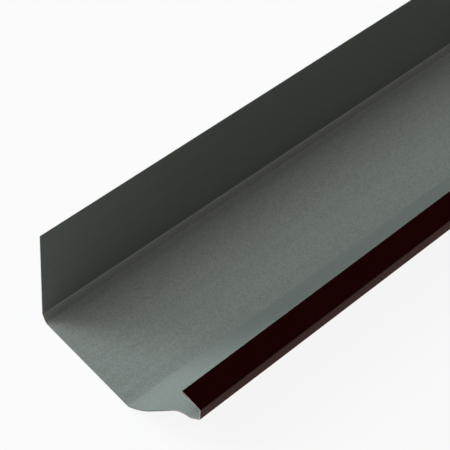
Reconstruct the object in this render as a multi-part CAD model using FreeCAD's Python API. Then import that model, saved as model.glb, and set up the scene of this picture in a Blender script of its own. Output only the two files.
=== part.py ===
# Ogee eaves gutter: one length of coated steel sheet, roll-formed to a constant section.
#
# The section lies in the XZ plane and runs along Y. +X points from the wall side to the
# front lip and +Z up. The gutter stands on its flat bottom, with the origin on the floor
# under the middle of its length and of its top width. Millimetres and degrees.
import FreeCAD, Part
import math
import os

# The stock
length = 3000.0        # one length as sold, cut square at both ends
sheet = 0.5            # steel with its coat

# The section, over the outside of the sheet
top_width = 127.0      # wall side to the foot of the lip, the widest point
back_height = 77.5     # the wall side stands higher than the lip
front_height = 66.5
bottom_width = 75.5    # wall side to the corner where the front starts to rise

# The back corner is bent in two passes, which leaves a short flat run between its bends
heel = 6.5
heel_slope = 61.5      # slopes are from the level

# The front, from the bottom up: foot, belly, ledge, chin, lip, flange and hem.
# Each run is measured between its corners, and the belly is what joins foot to ledge.
foot = 15.0
foot_slope = 42.5
ledge = 9.0
ledge_slope = 22.5
chin = 9.6
chin_slope = 48.0
lip = 9.0
lip_slope = 96.0       # leans back a little over the trough
flange = 14.5          # level, turned back over the trough
hem = 4.5              # folded back under the flange
hem_gap = 1.0          # left open between flange and hem

# Inside radii of the bends
wall_radius = 1.0
heel_radius = 2.5
foot_radius = 3.0
belly_radius = 87.0
cove_radius = 27.0
ledge_radius = 1.0
chin_radius = 1.5
lip_radius = 0.7
hem_radius = hem_gap / 2


def section_point(x, z):
    """A point of the section, with x from the wall side and z from the underside."""
    return FreeCAD.Vector(x - top_width / 2, -length / 2, z)


def climb(slope, run):
    """The step that a run of the front makes as it rises at its slope."""
    angle = math.radians(slope)
    return FreeCAD.Vector(run * math.cos(angle), 0, run * math.sin(angle))


def inward(heading):
    """Square to a run of the sheet, from its outer face towards the trough."""
    return FreeCAD.Vector(-heading.z, 0, heading.x)


def section_corners():
    """Corners of the outer face, from the wall side's top edge round to the hem's edge,
    each with the inside radius of its bend. The two ends have no bend."""
    heel_rise = climb(heel_slope, heel)
    foot_end = section_point(bottom_width, 0) + climb(foot_slope, foot)
    lip_rise = climb(lip_slope, lip)
    lip_start = section_point(top_width, front_height - lip_rise.z)
    lip_end = lip_start + lip_rise
    chin_start = lip_start - climb(chin_slope, chin)
    ledge_start = chin_start - climb(ledge_slope, ledge)
    fold = lip_end - FreeCAD.Vector(flange, 0, 0)
    hem_drop = FreeCAD.Vector(0, 0, 2 * sheet + hem_gap)
    return [
        (section_point(0, back_height), 0),
        (section_point(0, heel_rise.z), wall_radius),
        (section_point(heel_rise.x, 0), heel_radius),
        (section_point(bottom_width, 0), foot_radius),
        (foot_end, belly_radius),
        (ledge_start, cove_radius),
        (chin_start, ledge_radius),
        (lip_start, chin_radius),
        (lip_end, lip_radius),
        (fold, hem_radius),
        (fold - hem_drop, hem_radius),
        (fold - hem_drop + FreeCAD.Vector(hem, 0, 0), 0),
    ]


class Bend:
    """A bend between two runs of the sheet, worked out on its outer face."""

    def __init__(self, corner, inside_radius, before, after):
        self.corner = corner
        self.before = before
        self.after = after
        turn = before.getAngle(after)
        turns_inward = after.dot(inward(before)) > 0
        self.slack = math.tan(turn / 2)
        self.side = 1 if turns_inward else -1
        radius = inside_radius + (sheet if turns_inward else 0)
        self.reach = radius * self.slack

    def points(self, inset):
        """Start, middle and end of the bend on the face that lies `inset` inward."""
        start = self.corner - self.before * self.reach + inward(self.before) * inset
        end = self.corner + self.after * self.reach + inward(self.after) * inset
        radius = self.reach / self.slack
        centre = start + inward(self.before) * (self.side * radius - inset)
        to_corner = (self.corner - centre).normalize()
        middle = centre + to_corner * (radius - self.side * inset)
        return start, middle, end


def section_bends(corners):
    """The bends of the section. One that would overrun its run is eased to fit it."""
    points = [point for point, _ in corners]
    runs = [end - start for start, end in zip(points, points[1:])]
    headings = [FreeCAD.Vector(run).normalize() for run in runs]
    bends = [
        Bend(point, radius, before, after)
        for (point, radius), before, after in zip(corners[1:-1], headings, headings[1:])
    ]
    reaches = [0] + [bend.reach for bend in bends] + [0]
    room = [min(1, run.Length / (a + b)) for run, a, b in zip(runs, reaches, reaches[1:])]
    for bend, room_before, room_after in zip(bends, room, room[1:]):
        bend.reach *= min(room_before, room_after)
    return bends


def face_of_sheet(corners, bends, inset):
    """Lines and arcs of one face of the sheet, `inset` inward of the outer face."""
    first, last = bends[0], bends[-1]
    position = corners[0][0] + inward(first.before) * inset
    edges = []
    for bend in bends:
        start, middle, end = bend.points(inset)
        if position.distanceToPoint(start) > 1e-6:
            edges.append(Part.makeLine(position, start))
        edges.append(Part.Arc(start, middle, end).toShape())
        position = end
    hem_edge = corners[-1][0] + inward(last.after) * inset
    edges.append(Part.makeLine(position, hem_edge))
    return edges


def gutter_section():
    """The folded sheet, pushed along its length."""
    corners = section_corners()
    bends = section_bends(corners)
    outer = face_of_sheet(corners, bends, 0)
    inner = face_of_sheet(corners, bends, sheet)
    wall_edge = Part.makeLine(outer[0].Vertexes[0].Point, inner[0].Vertexes[0].Point)
    hem_edge = Part.makeLine(outer[-1].Vertexes[-1].Point, inner[-1].Vertexes[-1].Point)
    outline = Part.Wire(outer + [hem_edge] + inner[::-1] + [wall_edge])
    middle_of_sheet = face_of_sheet(corners, bends, sheet / 2)
    developed = sum(edge.Length for edge in middle_of_sheet)
    print(f"developed width {developed:.1f} mm")
    return Part.Face(outline).extrude(FreeCAD.Vector(0, length, 0))


os.makedirs("parts", exist_ok=True)
gutter = gutter_section()
gutter.exportStep("parts/gutter_section.step")
print(f"volume {gutter.Volume:.0f} mm3, valid {gutter.isValid()}")
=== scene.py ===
import math
import bpy
from mathutils import Euler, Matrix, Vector


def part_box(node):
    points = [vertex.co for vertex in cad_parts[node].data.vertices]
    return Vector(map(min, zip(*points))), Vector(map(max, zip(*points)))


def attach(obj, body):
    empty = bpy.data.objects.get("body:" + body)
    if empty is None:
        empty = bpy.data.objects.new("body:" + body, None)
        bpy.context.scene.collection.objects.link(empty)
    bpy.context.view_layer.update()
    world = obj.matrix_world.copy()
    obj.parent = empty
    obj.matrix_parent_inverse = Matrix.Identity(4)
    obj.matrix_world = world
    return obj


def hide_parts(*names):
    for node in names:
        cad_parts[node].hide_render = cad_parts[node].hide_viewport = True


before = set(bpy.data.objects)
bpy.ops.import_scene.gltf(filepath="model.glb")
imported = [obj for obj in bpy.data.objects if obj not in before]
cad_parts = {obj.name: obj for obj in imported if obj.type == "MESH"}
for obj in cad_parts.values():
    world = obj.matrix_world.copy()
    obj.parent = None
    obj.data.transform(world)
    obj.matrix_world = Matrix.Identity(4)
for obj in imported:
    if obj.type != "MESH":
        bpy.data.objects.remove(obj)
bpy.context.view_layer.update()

# The gutter section.
# One strip of galvanised steel, coil-coated brown on its face and grey on its back, folded
# by rolls into an ogee trough as it runs through them, and sheared to length.
MM = 0.001
low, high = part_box("gutter_section")
back_height = high.z - low.z
length = high.y - low.y

sheet = 0.5 * MM
top_width = 127.0 * MM         # wall side to the foot of the lip
front_height = 66.5 * MM       # up to the top of the level flange
bottom_width = 75.5 * MM       # wall side to the foot of the front
heel, heel_slope = 6.5 * MM, 61.5      # a run of the section, and its slope in degrees
foot, foot_slope = 15.0 * MM, 42.5
ledge, ledge_slope = 9.0 * MM, 22.5
chin, chin_slope = 9.6 * MM, 48.0
lip, lip_slope = 9.0 * MM, 96.0
flange = 14.5 * MM
hem, hem_gap = 4.5 * MM, 1.0 * MM
wall_bend, heel_bend, foot_bend = 1.0 * MM, 2.5 * MM, 3.0 * MM     # inside radii
belly_bend, cove_bend, chin_bend = 87.0 * MM, 27.0 * MM, 1.0 * MM
lip_bend, flange_bend = 1.5 * MM, 0.7 * MM
support = 0.4 * MM             # from a bend's end to the point that keeps the flat flat
support_room = 5.0 * MM        # a shorter flat goes without those points
# Painted light: how much the grey coat is painted lighter along the back corner's fold.
fold_light_fade = 0.15                # share of the heel over which the painted fold light fades
fold_light_wall, fold_light_heel, fold_light_bottom = 1.0, 0.35, 0.05


def climb(slope, run):
    """The step across and up that a run of the front makes at its slope, in degrees."""
    return Vector((math.cos(math.radians(slope)), math.sin(math.radians(slope)))) * run


def section_corners():
    """Corners of the sheet's outer face from the wall side's top edge round to the hem's edge,
    measured across from the wall side and up from the floor. Each has its inside radius, and how
    much painted light lightens the grey coat there, from 0 to 1: a painted highlight along the
    back corner's fold."""
    heel_rise = climb(heel_slope, heel)
    foot_end = Vector((bottom_width, 0)) + climb(foot_slope, foot)
    lip_end = Vector((top_width, front_height)) + Vector((climb(lip_slope, lip).x, 0))
    lip_start = lip_end - climb(lip_slope, lip)
    chin_start = lip_start - climb(chin_slope, chin)
    ledge_start = chin_start - climb(ledge_slope, ledge)
    fold = lip_end - Vector((flange, 0))
    hem_bend = fold - Vector((0, 2 * sheet + hem_gap))
    return [
        (Vector((0, back_height)), 0, 0),
        (Vector((0, heel_rise.y)), wall_bend, fold_light_wall),
        (Vector((fold_light_fade * heel_rise.x, (1 - fold_light_fade) * heel_rise.y)), 0, fold_light_heel),
        (Vector((heel_rise.x, 0)), heel_bend, fold_light_bottom),
        (Vector((bottom_width, 0)), foot_bend, 0),
        (foot_end, belly_bend, 0),
        (ledge_start, cove_bend, 0),
        (chin_start, chin_bend, 0),
        (lip_start, lip_bend, 0),
        (lip_end, flange_bend, 0),
        (fold, hem_gap / 2, 0),
        (hem_bend, hem_gap / 2, 0),
        (hem_bend + Vector((hem, 0)), 0, 0),
    ]


def face_of_sheet(corners, inset):
    """One face of the sheet, `inset` inward of the outer face, with a point just past each
    end of a bend where the flat beside it has room."""
    points = [corner[0] for corner in corners]
    runs = [(end - start).normalized() for start, end in zip(points, points[1:])]
    face = []
    for (point, inside, painted_fold_light), before, after in zip(
        corners, runs[:1] + runs, runs + runs[-1:]
    ):
        inward = Vector((-before.y - after.y, before.x + after.x)).normalized()
        step = inset / inward.dot(Vector((-before.y, before.x)))
        turns_inward = before.cross(after) > 0
        radius = inside + sheet - inset if turns_inward else inside + inset
        bend = radius * math.tan(before.angle(after) / 2) if inside else 0
        here = point + inward * step
        if face:
            last, _, _, last_bend = face[-1]
            if (here - last).length - last_bend - bend > support_room:
                face.append((last + before * (last_bend + support), 0, 0, 0))
                face.append((here - before * (bend + support), 0, 0, 0))
        face.append((here, radius if inside else 0, painted_fold_light, bend))
    return [corner[:3] for corner in face]


def section_chain():
    """The section drawn flat: its outer face, then its inner face back to the start. Each corner
    carries its bend's radius, how much painted fold light it has, and which face it is on."""
    outer = face_of_sheet(section_corners(), 0)
    inner = face_of_sheet(section_corners(), sheet)[::-1]
    corners = outer + inner
    mesh = bpy.data.meshes.new("section")
    mesh.from_pydata(
        [(low.x + point.x, low.z + point.y, 0) for point, _, _ in corners],
        [(i, (i + 1) % len(corners)) for i in range(len(corners))],
        [],
    )
    marks = {
        "bend_radius": [radius for _, radius, _ in corners],
        "painted_fold_light": [painted_fold_light for _, _, painted_fold_light in corners],
        "inner_face": [0.0] * len(outer) + [1.0] * len(inner),
    }
    for name, values in marks.items():
        mesh.attributes.new(name, "FLOAT", "POINT").data.foreach_set("value", values)
    chain = bpy.data.objects.new("gutter", mesh)
    bpy.context.scene.collection.objects.link(chain)
    return chain


def add_node(tree, kind, links=(), **settings):
    """Adds a node. A setting is the node's own property, and links gives each input either
    a value or the output that feeds it. An input goes by its name or, where that repeats or
    is plain "Value", by its number."""
    node = tree.nodes.new(kind)
    for name, value in settings.items():
        setattr(node, name, value)
    for name, value in dict(links).items():
        if isinstance(value, bpy.types.NodeSocket):
            tree.links.new(value, node.inputs[name])
        else:
            node.inputs[name].default_value = value
    return node


def roll_forming():
    """The rolls and the shear: bends the section's corners, runs it out to length, closes
    the cut ends, lets the front spring open towards them and leaves the sheet its waves."""
    tree = bpy.data.node_groups.new("roll_forming", "GeometryNodeTree")
    sockets = tree.interface.new_socket
    sockets("Section", in_out="INPUT", socket_type="NodeSocketGeometry")
    for name in ("Near End", "Length", "Flat Step", "Spring Angle", "Spring Reach",
                 "Spring Blend", "Wave Height", "Wave Length", "Seed"):
        sockets(name, in_out="INPUT", socket_type="NodeSocketFloat")
    sockets("Stations", in_out="INPUT", socket_type="NodeSocketInt")
    sockets("Bend Points", in_out="INPUT", socket_type="NodeSocketInt")
    sockets("Spring Corner", in_out="INPUT", socket_type="NodeSocketVector")
    for name in ("Face Coat", "Back Coat", "Cut Edge"):
        sockets(name, in_out="INPUT", socket_type="NodeSocketMaterial")
    sockets("Gutter", in_out="OUTPUT", socket_type="NodeSocketGeometry")

    def add(kind, links=(), **settings):
        return add_node(tree, kind, links, **settings)

    given = add("NodeGroupInput").outputs
    place = add("GeometryNodeInputPosition").outputs[0]
    index = add("GeometryNodeInputIndex").outputs[0]

    # The section: arcs at the corners, then short steps on the flats between them
    radius = add("GeometryNodeInputNamedAttribute", {"Name": "bend_radius"}, data_type="FLOAT")
    chain = add("GeometryNodeMeshToCurve", {"Mesh": given["Section"]})
    bent = add("GeometryNodeFilletCurve", {
        "Curve": chain.outputs[0], "Count": given["Bend Points"], "Radius": radius.outputs[0],
        "Limit Radius": True,
    }, mode="POLY")
    following = add("ShaderNodeMath", {0: index, 1: 1.0})
    next_place = add("GeometryNodeFieldAtIndex", {
        "Index": following.outputs[0], "Value": place,
    }, data_type="FLOAT_VECTOR", domain="POINT")
    run = add("ShaderNodeVectorMath", {0: place, 1: next_place.outputs[0]}, operation="DISTANCE")
    steps = add("ShaderNodeMath", {
        0: run.outputs["Value"], 1: given["Flat Step"],
    }, operation="DIVIDE")
    cuts = add("ShaderNodeMath", {0: steps.outputs[0]}, operation="FLOOR")
    stepped = add("GeometryNodeSubdivideCurve", {
        "Curve": bent.outputs[0], "Cuts": cuts.outputs[0],
    })
    section = add("GeometryNodeCurveToMesh", {"Curve": stepped.outputs[0]})
    points = add("GeometryNodeAttributeDomainSize", {"Geometry": section.outputs[0]})
    count = points.outputs["Point Count"]

    # The sheet: a grid with a row for each point of the section and a column for each station
    rows = add("FunctionNodeIntegerMath", {0: count, 1: 1})
    grid = add("GeometryNodeMeshGrid", {
        "Vertices X": rows.outputs[0], "Vertices Y": given["Stations"],
    })
    row = add("FunctionNodeIntegerMath", {
        0: index, 1: given["Stations"],
    }, operation="DIVIDE_FLOOR")
    row_point = add("FunctionNodeIntegerMath", {0: row.outputs[0], 1: count}, operation="MODULO")
    column = add("FunctionNodeIntegerMath", {0: index, 1: given["Stations"]}, operation="MODULO")
    last = add("FunctionNodeIntegerMath", {0: given["Stations"], 1: 1}, operation="SUBTRACT")
    share = add("ShaderNodeMath", {0: column.outputs[0], 1: last.outputs[0]}, operation="DIVIDE")
    out = add("ShaderNodeMath", {0: share.outputs[0], 1: given["Length"]}, operation="MULTIPLY")
    on_section = add("GeometryNodeSampleIndex", {
        "Geometry": section.outputs[0], "Value": place, "Index": row_point.outputs[0],
    }, data_type="FLOAT_VECTOR")
    lift = add("ShaderNodeCombineXYZ", {"Z": out.outputs[0]})
    run_out = add("ShaderNodeVectorMath", {0: on_section.outputs[0], 1: lift.outputs[0]})
    drawn = add("GeometryNodeSetPosition", {
        "Geometry": grid.outputs["Mesh"], "Position": run_out.outputs[0],
    })
    carried = drawn
    # Carries the painted fold light, and which coat each face has, onto the sheet.
    for mark, name, domain in (
        ("painted_fold_light", "painted_fold_light", "POINT"),
        ("inner_face", "coat_side", "FACE"),
    ):
        given_mark = add("GeometryNodeInputNamedAttribute", {"Name": mark}, data_type="FLOAT")
        sampled = add("GeometryNodeSampleIndex", {
            "Geometry": section.outputs[0], "Value": given_mark.outputs[0],
            "Index": row_point.outputs[0],
        }, data_type="FLOAT")
        at_point = add("GeometryNodeFieldOnDomain", {0: sampled.outputs[0]}, domain="POINT")
        carried = add("GeometryNodeStoreNamedAttribute", {
            "Geometry": carried.outputs[0], "Name": name, "Value": at_point.outputs[0],
        }, data_type="FLOAT", domain=domain)

    # The cut ends: the section filled in, one facing each way
    filled = add("GeometryNodeFillCurve", {"Curve": stepped.outputs[0]}, mode="NGONS")
    near_cap = add("GeometryNodeStoreNamedAttribute", {
        "Geometry": filled.outputs[0], "Name": "coat_side", "Value": 0.5,
    }, data_type="FLOAT", domain="FACE")
    turned = add("GeometryNodeFlipFaces", {"Mesh": near_cap.outputs[0]})
    to_far = add("ShaderNodeCombineXYZ", {"Z": given["Length"]})
    far_cap = add("GeometryNodeTransform", {
        "Geometry": near_cap.outputs[0], "Translation": to_far.outputs[0],
    })
    shell = add("GeometryNodeJoinGeometry")
    for part in (carried, turned, far_cap):
        tree.links.new(part.outputs[0], shell.inputs[0])
    closed = add("GeometryNodeMergeByDistance", {
        "Geometry": shell.outputs[0], "Distance": 0.01 * MM,
    })

    # Stood up, with the run along Y from the near end
    flat = add("ShaderNodeSeparateXYZ", {0: place})
    along = add("ShaderNodeMath", {0: flat.outputs["Z"], 1: given["Near End"]})
    upright = add("ShaderNodeCombineXYZ", {
        "X": flat.outputs["X"], "Y": along.outputs[0], "Z": flat.outputs["Y"],
    })
    stood = add("GeometryNodeSetPosition", {
        "Geometry": closed.outputs[0], "Position": upright.outputs[0],
    })

    # The spring: past its corner the front turns outward, most at each cut end
    here = add("ShaderNodeSeparateXYZ", {0: place})
    from_near = add("ShaderNodeMath", {
        0: here.outputs["Y"], 1: given["Near End"],
    }, operation="SUBTRACT")
    from_far = add("ShaderNodeMath", {
        0: given["Length"], 1: from_near.outputs[0],
    }, operation="SUBTRACT")
    from_end = add("ShaderNodeMath", {
        0: from_near.outputs[0], 1: from_far.outputs[0],
    }, operation="MINIMUM")
    nearness = add("ShaderNodeMapRange", {
        "Value": from_end.outputs[0], "From Max": given["Spring Reach"],
        "To Min": 1.0, "To Max": 0.0,
    })
    corner = add("ShaderNodeSeparateXYZ", {0: given["Spring Corner"]})
    past = add("ShaderNodeMath", {
        0: here.outputs["X"], 1: corner.outputs["X"],
    }, operation="SUBTRACT")
    before = add("ShaderNodeMath", {0: given["Spring Blend"], 1: -1.0}, operation="MULTIPLY")
    onto_front = add("ShaderNodeMapRange", {
        "Value": past.outputs[0], "From Min": before.outputs[0], "From Max": given["Spring Blend"],
    }, interpolation_type="SMOOTHSTEP")
    reach = add("ShaderNodeMath", {
        0: nearness.outputs[0], 1: onto_front.outputs[0],
    }, operation="MULTIPLY")
    turn = add("ShaderNodeMath", {
        0: reach.outputs[0], 1: given["Spring Angle"],
    }, operation="MULTIPLY")
    opened = add("ShaderNodeVectorRotate", {
        "Vector": place, "Center": given["Spring Corner"], "Angle": turn.outputs[0],
    }, rotation_type="Y_AXIS")
    sprung = add("GeometryNodeSetPosition", {
        "Geometry": stood.outputs[0], "Position": opened.outputs[0],
    })

    # The waves: the strip leaves the rolls slightly uneven, across and up but not lengthways
    wave_scale = add("ShaderNodeMath", {0: 1.0, 1: given["Wave Length"]}, operation="DIVIDE")
    wave = add("ShaderNodeTexNoise", {
        "Vector": place, "W": given["Seed"], "Scale": wave_scale.outputs[0], "Detail": 1.0,
    }, noise_dimensions="4D")
    centred = add("ShaderNodeVectorMath", {
        0: wave.outputs["Color"], 1: (0.5, 0.5, 0.5),
    }, operation="SUBTRACT")
    across = add("ShaderNodeVectorMath", {
        0: centred.outputs[0], 1: (2.0, 0.0, 2.0),
    }, operation="MULTIPLY")
    offset = add("ShaderNodeVectorMath", {
        0: across.outputs[0], "Scale": given["Wave Height"],
    }, operation="SCALE")
    wavy = add("GeometryNodeSetPosition", {
        "Geometry": sprung.outputs[0], "Offset": offset.outputs[0],
    })
    real = add("GeometryNodeRealizeInstances", {0: wavy.outputs[0]})

    # The coats: 0 on the face, 1 on the back, and between them on the cut edges
    coat = add("GeometryNodeInputNamedAttribute", {"Name": "coat_side"}, data_type="FLOAT")
    is_back = add("FunctionNodeCompare", {0: coat.outputs[0], 1: 0.9}, operation="GREATER_THAN")
    is_face = add("FunctionNodeCompare", {0: coat.outputs[0], 1: 0.1}, operation="LESS_THAN")
    bare = add("GeometryNodeSetMaterial", {
        "Geometry": real.outputs[0], "Material": given["Cut Edge"],
    })
    backed = add("GeometryNodeSetMaterial", {
        "Geometry": bare.outputs[0], "Selection": is_back.outputs[0],
        "Material": given["Back Coat"],
    })
    coated = add("GeometryNodeSetMaterial", {
        "Geometry": backed.outputs[0], "Selection": is_face.outputs[0],
        "Material": given["Face Coat"],
    })
    add("NodeGroupOutput", {0: coated.outputs[0]})
    return tree


def linear(hex_colour):
    """A colour written as sRGB hex, in the linear values that shaders use."""
    channels = [int(hex_colour[i:i + 2], 16) / 255 for i in (1, 3, 5)]
    return [c / 12.92 if c <= 0.04045 else ((c + 0.055) / 1.055) ** 2.4 for c in channels] + [1]


def new_material(name):
    """A material with its node tree and its shader."""
    material = bpy.data.materials.new(name)
    material.use_nodes = True
    return material, material.node_tree, material.node_tree.nodes["Principled BSDF"]


def object_scale(tree, size):
    """Object coordinates divided by a pattern's real sizes, in metres along X, Y and Z."""
    coordinates = add_node(tree, "ShaderNodeTexCoord")
    return add_node(tree, "ShaderNodeVectorMath", {
        0: coordinates.outputs["Object"], 1: size,
    }, operation="DIVIDE").outputs[0]


# Polyester coil coat, chocolate brown: baked on flat strip from a roller, so it is smooth and
# mirrors its surroundings with a brown cast, deepened by the floor's painted warm reflection, and
# is nearly black where they are dark.
# The roller's faint peel is 1.5 mm across the strip and 6 mm along it.
brown_coat, tree, shader = new_material("polyester_coil_coat_brown")
shader.inputs["Roughness"].default_value = 0.2
shader.inputs["IOR"].default_value = 1.5
shader.inputs["Specular IOR Level"].default_value = 0.12
shader.inputs["Specular Tint"].default_value = linear("#FFCEBF")
peel = add_node(tree, "ShaderNodeTexNoise", {
    "Vector": object_scale(tree, (1.5 * MM, 6 * MM, 1.5 * MM)), "Scale": 1.0, "Detail": 2.0,
})
tone = add_node(tree, "ShaderNodeMix", {
    0: peel.outputs[0], 6: linear("#140202"), 7: linear("#1A0303"),
}, data_type="RGBA")
tree.links.new(tone.outputs[2], shader.inputs["Base Color"])
relief = add_node(tree, "ShaderNodeBump", {
    "Height": peel.outputs[0], "Strength": 0.05, "Distance": 0.02 * MM,
})
tree.links.new(relief.outputs[0], shader.inputs["Normal"])

# Epoxy backing coat, grey: a thin roller coat over primer, satin, with a fine grain of
# about 0.2 mm that is drawn at 0.9 mm so that it shows, and faint lines along the strip.
# At the back corner's first bend, fading over the heel, the coat is painted lighter: a painted
# highlight standing in for the bright fold line and the light on the heel.
grey_coat, tree, shader = new_material("epoxy_backing_coat_grey")
shader.inputs["Roughness"].default_value = 0.35
shader.inputs["IOR"].default_value = 1.5
grain = add_node(tree, "ShaderNodeTexNoise", {
    "Vector": object_scale(tree, (0.9 * MM, 0.9 * MM, 0.9 * MM)), "Scale": 1.0, "Detail": 1.0,
})
lines = add_node(tree, "ShaderNodeTexNoise", {
    "Vector": object_scale(tree, (4 * MM, 400 * MM, 4 * MM)), "Scale": 1.0, "Detail": 2.0,
})
both = add_node(tree, "ShaderNodeMix", {0: 0.15, 2: grain.outputs[0], 3: lines.outputs[0]})
spread = add_node(tree, "ShaderNodeMapRange", {
    "Value": both.outputs[0], "From Min": 0.3, "From Max": 0.7,
})
tone = add_node(tree, "ShaderNodeMix", {
    0: spread.outputs[0], 6: linear("#6A726D"), 7: linear("#7E8681"),
}, data_type="RGBA")
# Painted highlight: the grey coat is lightened towards #A8B0AA where the fold light mark is set.
painted_fold_light = add_node(tree, "ShaderNodeAttribute", attribute_name="painted_fold_light")
lighter = add_node(tree, "ShaderNodeMix", {
    0: painted_fold_light.outputs["Fac"], 6: tone.outputs[2], 7: linear("#A8B0AA"),
}, data_type="RGBA")
tree.links.new(lighter.outputs[2], shader.inputs["Base Color"])
relief = add_node(tree, "ShaderNodeBump", {
    "Height": grain.outputs[0], "Strength": 0.15, "Distance": 0.02 * MM,
})
tree.links.new(relief.outputs[0], shader.inputs["Normal"])

# Sheared edge of galvanised steel: bare metal between two films of zinc, finely scored by the
# shear. It is dull round the trough, and bright from the ledge to the flange. The scores are drawn
# at 0.6 mm, coarser than real, so that they show.
dull_until, bright_from = low.x + 100 * MM, low.x + 116 * MM
bare_edge, tree, shader = new_material("sheared_galvanised_steel")
shader.inputs["Metallic"].default_value = 1.0
score = add_node(tree, "ShaderNodeTexNoise", {
    "Vector": object_scale(tree, (0.6 * MM, 0.6 * MM, 0.6 * MM)), "Scale": 1.0, "Detail": 2.0,
})
place = add_node(tree, "ShaderNodeTexCoord")
across = add_node(tree, "ShaderNodeSeparateXYZ", {0: place.outputs["Object"]})
bright_share = add_node(tree, "ShaderNodeMapRange", {
    "Value": across.outputs["X"], "From Min": dull_until, "From Max": bright_from,
}, interpolation_type="SMOOTHSTEP")
dull = add_node(tree, "ShaderNodeMix", {
    0: score.outputs[0], 6: linear("#484846"), 7: linear("#787876"),
}, data_type="RGBA")
bright = add_node(tree, "ShaderNodeMix", {
    0: score.outputs[0], 6: linear("#C0BEBA"), 7: linear("#F0EEEA"),
}, data_type="RGBA")
tone = add_node(tree, "ShaderNodeMix", {
    0: bright_share.outputs[0], 6: dull.outputs[2], 7: bright.outputs[2],
}, data_type="RGBA")
tree.links.new(tone.outputs[2], shader.inputs["Base Color"])
rough = add_node(tree, "ShaderNodeMapRange", {
    "Value": score.outputs[0], "To Min": 0.35, "To Max": 0.6,
})
tree.links.new(rough.outputs[0], shader.inputs["Roughness"])

# The strip goes through the rolls, and what comes out of them becomes a plain mesh
gutter = section_chain()
forming = gutter.modifiers.new("roll_forming", "NODES")
forming.node_group = roll_forming()
settings = {
    "Near End": low.y,
    "Length": length,
    "Stations": 201,
    "Bend Points": 10,
    "Flat Step": 8 * MM,
    "Spring Angle": math.radians(2.87),
    "Spring Reach": 300 * MM,
    "Spring Corner": (low.x + bottom_width, 0, low.z),
    "Spring Blend": 3 * MM,
    "Wave Height": 0.08 * MM,
    "Wave Length": 180 * MM,
    "Seed": 4.0,
    "Face Coat": brown_coat,
    "Back Coat": grey_coat,
    "Cut Edge": bare_edge,
}
for socket in forming.node_group.interface.items_tree:
    if socket.name in settings:
        forming[socket.identifier] = settings[socket.name]
evaluated = gutter.evaluated_get(bpy.context.evaluated_depsgraph_get())
formed = bpy.data.meshes.new_from_object(evaluated)
gutter.modifiers.clear()
gutter.data = formed
formed.materials.pop(index=0)     # the flat section's own slot, which is empty
formed.shade_smooth()
formed.set_sharp_from_angle(angle=math.radians(40))
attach(gutter, "root")
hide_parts("gutter_section")

# The floor and the room.
# A plain floor in pale paint, which the camera sees nearly white, and which glows a little lighter
# and warm orange in glossy coats only: a painted warm reflection that browns what the brown face
# mirrors. The room is white round the horizon and dark overhead.
reach = 20                     # metres each way
shown_white, painted_reflection_share = 0.9, 0.3
floor_mesh = bpy.data.meshes.new("floor")
floor_mesh.from_pydata(
    [(-reach, -reach, 0), (reach, -reach, 0), (reach, reach, 0), (-reach, reach, 0)],
    [],
    [(0, 1, 2, 3)],
)
floor = bpy.data.objects.new("floor", floor_mesh)
bpy.context.scene.collection.objects.link(floor)
floor_paint, tree, shader = new_material("pale_floor_paint")
shader.inputs["Base Color"].default_value = linear("#C4C4C4")
shader.inputs["Roughness"].default_value = 0.9
shader.inputs["Specular IOR Level"].default_value = 0.0
path = add_node(tree, "ShaderNodeLightPath")
seen = add_node(tree, "ShaderNodeMath", {
    0: path.outputs["Is Camera Ray"], 1: shown_white,
}, operation="MULTIPLY")
mirrored = add_node(tree, "ShaderNodeMath", {
    0: path.outputs["Is Glossy Ray"], 1: painted_reflection_share,
}, operation="MULTIPLY")
share = add_node(tree, "ShaderNodeMath", {0: seen.outputs[0], 1: mirrored.outputs[0]})
# Painted reflection: in glossy rays the floor glows warm orange, #FFA080, which browns the brown
# face's mirror.
painted_reflection_tint = add_node(tree, "ShaderNodeMix", {
    0: path.outputs["Is Glossy Ray"], 6: linear("#FFFFFF"), 7: linear("#FFA080"),
}, data_type="RGBA")
floor_glow = add_node(tree, "ShaderNodeEmission", {"Color": painted_reflection_tint.outputs[2], "Strength": 1.0})
mixed = add_node(tree, "ShaderNodeMixShader", {
    0: share.outputs[0], 1: shader.outputs[0], 2: floor_glow.outputs[0],
})
tree.links.new(mixed.outputs[0], tree.nodes["Material Output"].inputs["Surface"])
floor_mesh.materials.append(floor_paint)

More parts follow.
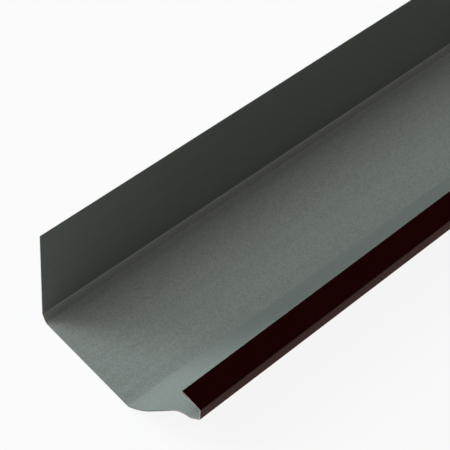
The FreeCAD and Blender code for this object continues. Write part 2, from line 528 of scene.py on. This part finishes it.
world = bpy.data.worlds.new("studio")
bpy.context.scene.world = world
world.use_nodes = True
tree = world.node_tree
background = tree.nodes["Background"]
direction = add_node(tree, "ShaderNodeTexCoord")
height = add_node(tree, "ShaderNodeSeparateXYZ", {0: direction.outputs["Generated"]})
room = add_node(tree, "ShaderNodeMapRange", {
    "Value": height.outputs["Z"], "From Min": 0.15, "From Max": 0.45,
    "To Min": 1.0, "To Max": 0.02,
}, interpolation_type="SMOOTHSTEP")
path = add_node(tree, "ShaderNodeLightPath")
seen = add_node(tree, "ShaderNodeMath", {
    0: path.outputs["Is Camera Ray"], 1: path.outputs["Is Glossy Ray"],
}, operation="MAXIMUM")
strength = add_node(tree, "ShaderNodeMath", {
    0: room.outputs[0], 1: seen.outputs[0],
}, operation="MULTIPLY")
tree.links.new(strength.outputs[0], background.inputs["Strength"])
background.inputs["Color"].default_value = (1, 1, 1, 1)


# The lights.
# Three wide soft lamps, far off: a cool window beyond the near end and the wall side, a
# cool one overhead, and a warm fill from the far end. No lamp is mirrored in a coat: the
# brown face mirrors only the floor and the room.
def soft_lamp(name, bearing, elevation, spread, strength, colour):
    """A lamp of `spread` degrees. Its bearing runs from +X towards +Y, in degrees."""
    lamp = bpy.data.lights.new(name, "SUN")
    lamp.energy = strength
    lamp.angle = math.radians(spread)
    lamp.color = colour
    light = bpy.data.objects.new(name, lamp)
    light.visible_glossy = False
    across, up = math.radians(bearing), math.radians(elevation)
    towards = Vector((
        math.cos(up) * math.cos(across), math.cos(up) * math.sin(across), math.sin(up),
    ))
    light.rotation_euler = towards.to_track_quat("Z", "Y").to_euler()
    bpy.context.scene.collection.objects.link(light)


soft_lamp("window_side", bearing=215, elevation=17, spread=30, strength=3.3,
          colour=(0.96, 1.0, 1.05))
soft_lamp("overhead", bearing=230, elevation=66, spread=44, strength=2.25,
          colour=(0.94, 1.0, 1.05))
soft_lamp("fill", bearing=80, elevation=32, spread=30, strength=0.85,
          colour=(1.30, 1.0, 0.82))

# The camera.
# It stands beyond the near end on the lip's side, and looks down along the trough.
lens = bpy.data.cameras.new("camera")
lens.lens = 132.2
lens.clip_start = 0.05
camera = bpy.data.objects.new("camera", lens)
camera.location = (0.36723, low.y - 0.32246, 0.77618)
camera.rotation_euler = Euler([math.radians(a) for a in (38.0673, -3.8624, 47.7058)])
bpy.context.scene.collection.objects.link(camera)
bpy.context.scene.camera = camera
bpy.context.scene.view_settings.view_transform = "Standard"
